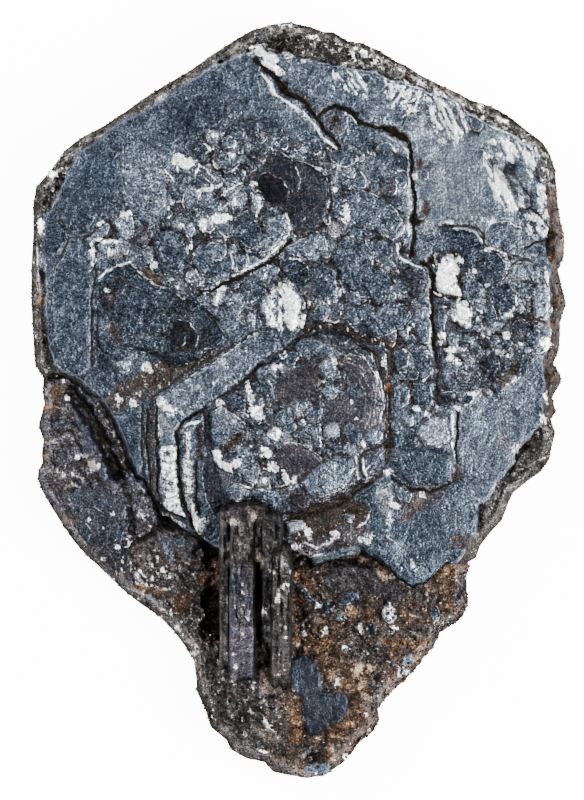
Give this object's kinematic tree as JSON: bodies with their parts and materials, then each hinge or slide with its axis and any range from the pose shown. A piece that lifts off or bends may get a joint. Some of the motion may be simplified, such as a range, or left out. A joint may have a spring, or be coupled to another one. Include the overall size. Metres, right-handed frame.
{
  "type": "hematite specimen",
  "caption": "Tabular hematite crystal with a stepped steel-blue face, a side crystal, upright blades and a rusty broken root, lying on its flat back.",
  "frame": {"origin": "centre of the bounding box at its lowest face, on the flat back the specimen rests on", "axes": "+Z out of the stepped crystal face, +Y from the broken root towards the crystal's top corner, +X to the right seen face on"},
  "size_m": [0.0564, 0.08, 0.0155],
  "materials": {
    "hematite": "satin"
  },
  "bodies": {
    "root": {"hematite_crystal_group": "hematite"}
  },
  "joints": []
}
